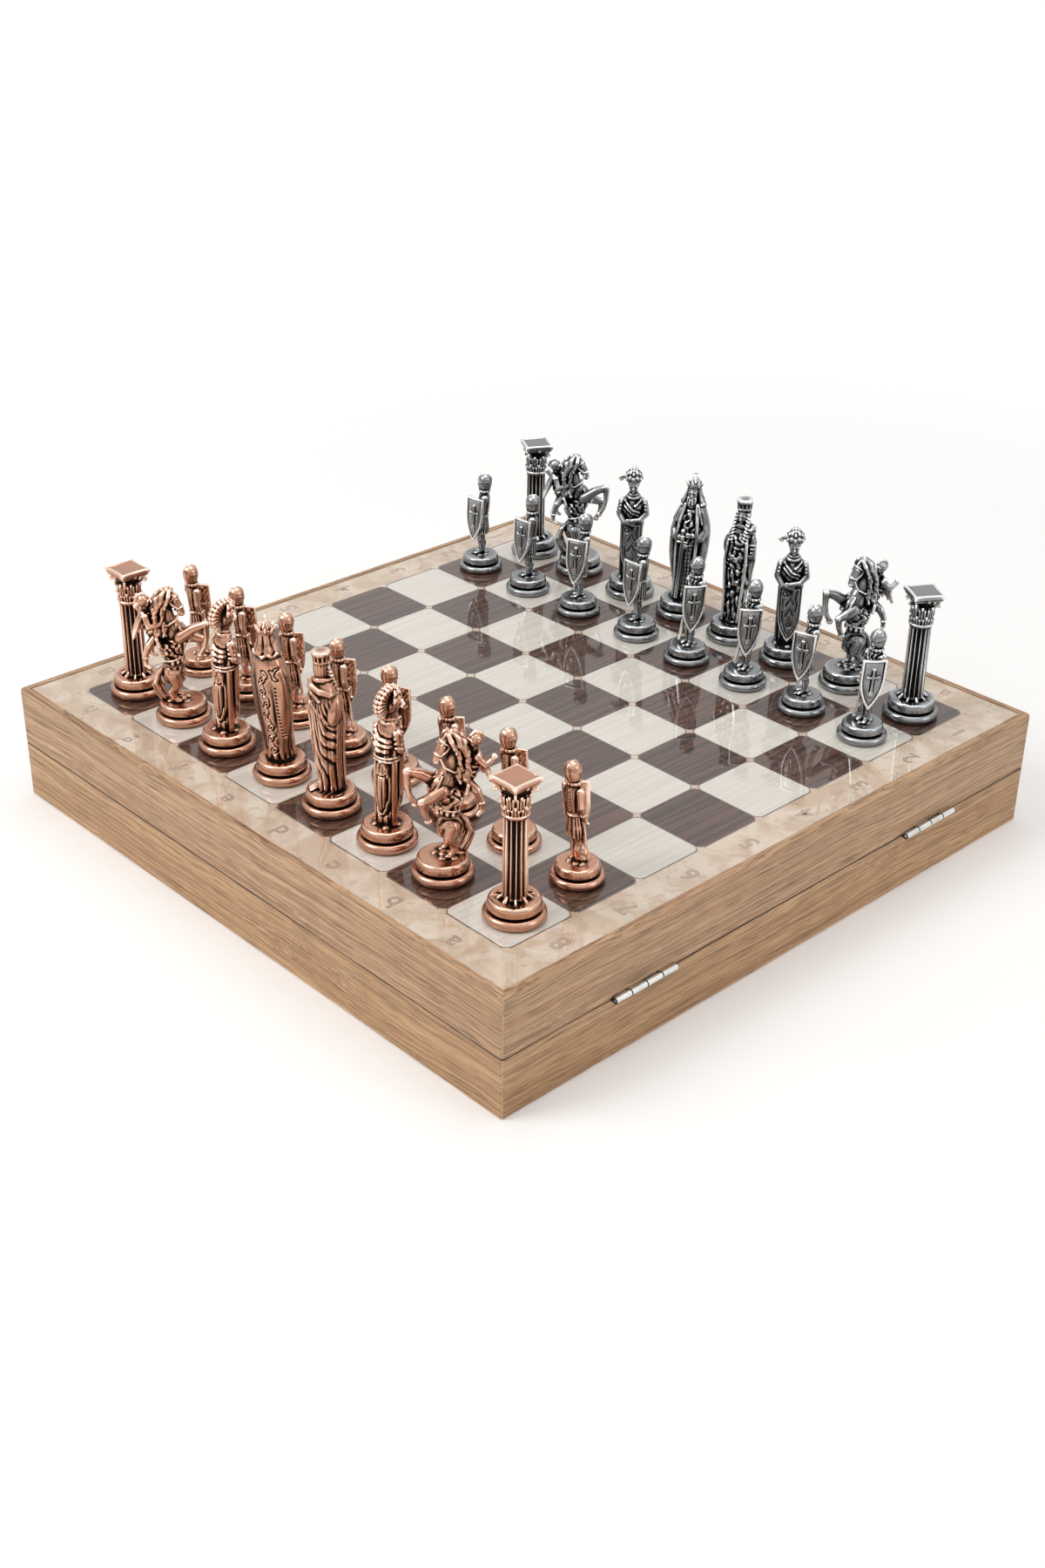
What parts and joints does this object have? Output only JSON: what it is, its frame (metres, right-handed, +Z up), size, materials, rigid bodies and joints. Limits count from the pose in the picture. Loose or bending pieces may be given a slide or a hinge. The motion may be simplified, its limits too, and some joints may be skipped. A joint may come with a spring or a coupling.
{
  "type": "chess set with board",
  "caption": "Folding wooden box whose hinged lid is an inlaid chess board, with cast metal figures of two armies standing on it.",
  "frame": {"origin": "centre of the box's underside", "axes": "+Z up, +X towards the hinged side, +Y from the copper army to the silver army"},
  "size_m": [0.3027, 0.3, 0.1191],
  "materials": {
    "oak": "straight-grained oak, satin lacquer",
    "plywood": "plain thin board",
    "felt": "dark green felt",
    "burl_veneer": "mottled burl veneer under gloss lacquer",
    "light_veneer": "pale veneer under gloss lacquer",
    "dark_veneer": "dark striped veneer under gloss lacquer",
    "nickel": "bright nickel plate",
    "steel_screw": "plain steel",
    "antique_copper": "copper plate, blackened in the hollows and polished on the ridges",
    "antique_silver": "silver plate, blackened in the hollows and polished on the ridges"
  },
  "bodies": {
    "base": {"base_front_wall": "oak", "base_hinge_wall": "oak", "base_back_wall": "oak", "base_left_wall": "oak", "base_floor": "plywood", "base_lining": "felt", "front_hinge_base_leaf": "nickel", "front_hinge_pin": "nickel", "back_hinge_base_leaf": "nickel", "back_hinge_pin": "nickel", "base_hinge_screws": "steel_screw"},
    "lid": {"lid_front_wall": "oak", "lid_hinge_wall": "oak", "lid_back_wall": "oak", "lid_left_wall": "oak", "lid_lining": "felt", "playing_panel": "burl_veneer", "light_squares": "light_veneer", "dark_squares": "dark_veneer", "front_hinge_lid_leaf": "nickel", "back_hinge_lid_leaf": "nickel", "lid_hinge_screws": "steel_screw"},
    "copper_rook_a": {"copper_rook_a": "antique_copper"},
    "copper_knight_b": {"copper_knight_b": "antique_copper"},
    "copper_bishop_c": {"copper_bishop_c": "antique_copper"},
    "copper_queen": {"copper_queen": "antique_copper"},
    "copper_king": {"copper_king": "antique_copper"},
    "copper_bishop_f": {"copper_bishop_f": "antique_copper"},
    "copper_knight_g": {"copper_knight_g": "antique_copper"},
    "copper_rook_h": {"copper_rook_h": "antique_copper"},
    "copper_pawn_a": {"copper_pawn_a": "antique_copper"},
    "copper_pawn_b": {"copper_pawn_b": "antique_copper"},
    "copper_pawn_c": {"copper_pawn_c": "antique_copper"},
    "copper_pawn_d": {"copper_pawn_d": "antique_copper"},
    "copper_pawn_e": {"copper_pawn_e": "antique_copper"},
    "copper_pawn_f": {"copper_pawn_f": "antique_copper"},
    "copper_pawn_g": {"copper_pawn_g": "antique_copper"},
    "copper_pawn_h": {"copper_pawn_h": "antique_copper"},
    "silver_rook_a": {"silver_rook_a": "antique_silver"},
    "silver_knight_b": {"silver_knight_b": "antique_silver"},
    "silver_bishop_c": {"silver_bishop_c": "antique_silver"},
    "silver_queen": {"silver_queen": "antique_silver"},
    "silver_king": {"silver_king": "antique_silver"},
    "silver_bishop_f": {"silver_bishop_f": "antique_silver"},
    "silver_knight_g": {"silver_knight_g": "antique_silver"},
    "silver_rook_h": {"silver_rook_h": "antique_silver"},
    "silver_pawn_a": {"silver_pawn_a": "antique_silver"},
    "silver_pawn_b": {"silver_pawn_b": "antique_silver"},
    "silver_pawn_c": {"silver_pawn_c": "antique_silver"},
    "silver_pawn_d": {"silver_pawn_d": "antique_silver"},
    "silver_pawn_e": {"silver_pawn_e": "antique_silver"},
    "silver_pawn_f": {"silver_pawn_f": "antique_silver"},
    "silver_pawn_g": {"silver_pawn_g": "antique_silver"},
    "silver_pawn_h": {"silver_pawn_h": "antique_silver"}
  },
  "joints": [
    {"name": "lid_hinge", "type": "hinge", "parent": "base", "child": "lid", "pos_m": [0.1514, 0, 0.0255], "axis": [0, 1, 0], "range_deg": [0, 180]},
    {"name": "copper_rook_a_lift", "type": "slide", "parent": "lid", "child": "copper_rook_a", "axis": [0, 0, 1], "range_m": [0, 0.1]},
    {"name": "copper_knight_b_lift", "type": "slide", "parent": "lid", "child": "copper_knight_b", "axis": [0, 0, 1], "range_m": [0, 0.1]},
    {"name": "copper_bishop_c_lift", "type": "slide", "parent": "lid", "child": "copper_bishop_c", "axis": [0, 0, 1], "range_m": [0, 0.1]},
    {"name": "copper_queen_lift", "type": "slide", "parent": "lid", "child": "copper_queen", "axis": [0, 0, 1], "range_m": [0, 0.1]},
    {"name": "copper_king_lift", "type": "slide", "parent": "lid", "child": "copper_king", "axis": [0, 0, 1], "range_m": [0, 0.1]},
    {"name": "copper_bishop_f_lift", "type": "slide", "parent": "lid", "child": "copper_bishop_f", "axis": [0, 0, 1], "range_m": [0, 0.1]},
    {"name": "copper_knight_g_lift", "type": "slide", "parent": "lid", "child": "copper_knight_g", "axis": [0, 0, 1], "range_m": [0, 0.1]},
    {"name": "copper_rook_h_lift", "type": "slide", "parent": "lid", "child": "copper_rook_h", "axis": [0, 0, 1], "range_m": [0, 0.1]},
    {"name": "copper_pawn_a_lift", "type": "slide", "parent": "lid", "child": "copper_pawn_a", "axis": [0, 0, 1], "range_m": [0, 0.1]},
    {"name": "copper_pawn_b_lift", "type": "slide", "parent": "lid", "child": "copper_pawn_b", "axis": [0, 0, 1], "range_m": [0, 0.1]},
    {"name": "copper_pawn_c_lift", "type": "slide", "parent": "lid", "child": "copper_pawn_c", "axis": [0, 0, 1], "range_m": [0, 0.1]},
    {"name": "copper_pawn_d_lift", "type": "slide", "parent": "lid", "child": "copper_pawn_d", "axis": [0, 0, 1], "range_m": [0, 0.1]},
    {"name": "copper_pawn_e_lift", "type": "slide", "parent": "lid", "child": "copper_pawn_e", "axis": [0, 0, 1], "range_m": [0, 0.1]},
    {"name": "copper_pawn_f_lift", "type": "slide", "parent": "lid", "child": "copper_pawn_f", "axis": [0, 0, 1], "range_m": [0, 0.1]},
    {"name": "copper_pawn_g_lift", "type": "slide", "parent": "lid", "child": "copper_pawn_g", "axis": [0, 0, 1], "range_m": [0, 0.1]},
    {"name": "copper_pawn_h_lift", "type": "slide", "parent": "lid", "child": "copper_pawn_h", "axis": [0, 0, 1], "range_m": [0, 0.1]},
    {"name": "silver_rook_a_lift", "type": "slide", "parent": "lid", "child": "silver_rook_a", "axis": [0, 0, 1], "range_m": [0, 0.1]},
    {"name": "silver_knight_b_lift", "type": "slide", "parent": "lid", "child": "silver_knight_b", "axis": [0, 0, 1], "range_m": [0, 0.1]},
    {"name": "silver_bishop_c_lift", "type": "slide", "parent": "lid", "child": "silver_bishop_c", "axis": [0, 0, 1], "range_m": [0, 0.1]},
    {"name": "silver_queen_lift", "type": "slide", "parent": "lid", "child": "silver_queen", "axis": [0, 0, 1], "range_m": [0, 0.1]},
    {"name": "silver_king_lift", "type": "slide", "parent": "lid", "child": "silver_king", "axis": [0, 0, 1], "range_m": [0, 0.1]},
    {"name": "silver_bishop_f_lift", "type": "slide", "parent": "lid", "child": "silver_bishop_f", "axis": [0, 0, 1], "range_m": [0, 0.1]},
    {"name": "silver_knight_g_lift", "type": "slide", "parent": "lid", "child": "silver_knight_g", "axis": [0, 0, 1], "range_m": [0, 0.1]},
    {"name": "silver_rook_h_lift", "type": "slide", "parent": "lid", "child": "silver_rook_h", "axis": [0, 0, 1], "range_m": [0, 0.1]},
    {"name": "silver_pawn_a_lift", "type": "slide", "parent": "lid", "child": "silver_pawn_a", "axis": [0, 0, 1], "range_m": [0, 0.1]},
    {"name": "silver_pawn_b_lift", "type": "slide", "parent": "lid", "child": "silver_pawn_b", "axis": [0, 0, 1], "range_m": [0, 0.1]},
    {"name": "silver_pawn_c_lift", "type": "slide", "parent": "lid", "child": "silver_pawn_c", "axis": [0, 0, 1], "range_m": [0, 0.1]},
    {"name": "silver_pawn_d_lift", "type": "slide", "parent": "lid", "child": "silver_pawn_d", "axis": [0, 0, 1], "range_m": [0, 0.1]},
    {"name": "silver_pawn_e_lift", "type": "slide", "parent": "lid", "child": "silver_pawn_e", "axis": [0, 0, 1], "range_m": [0, 0.1]},
    {"name": "silver_pawn_f_lift", "type": "slide", "parent": "lid", "child": "silver_pawn_f", "axis": [0, 0, 1], "range_m": [0, 0.1]},
    {"name": "silver_pawn_g_lift", "type": "slide", "parent": "lid", "child": "silver_pawn_g", "axis": [0, 0, 1], "range_m": [0, 0.1]},
    {"name": "silver_pawn_h_lift", "type": "slide", "parent": "lid", "child": "silver_pawn_h", "axis": [0, 0, 1], "range_m": [0, 0.1]}
  ]
}
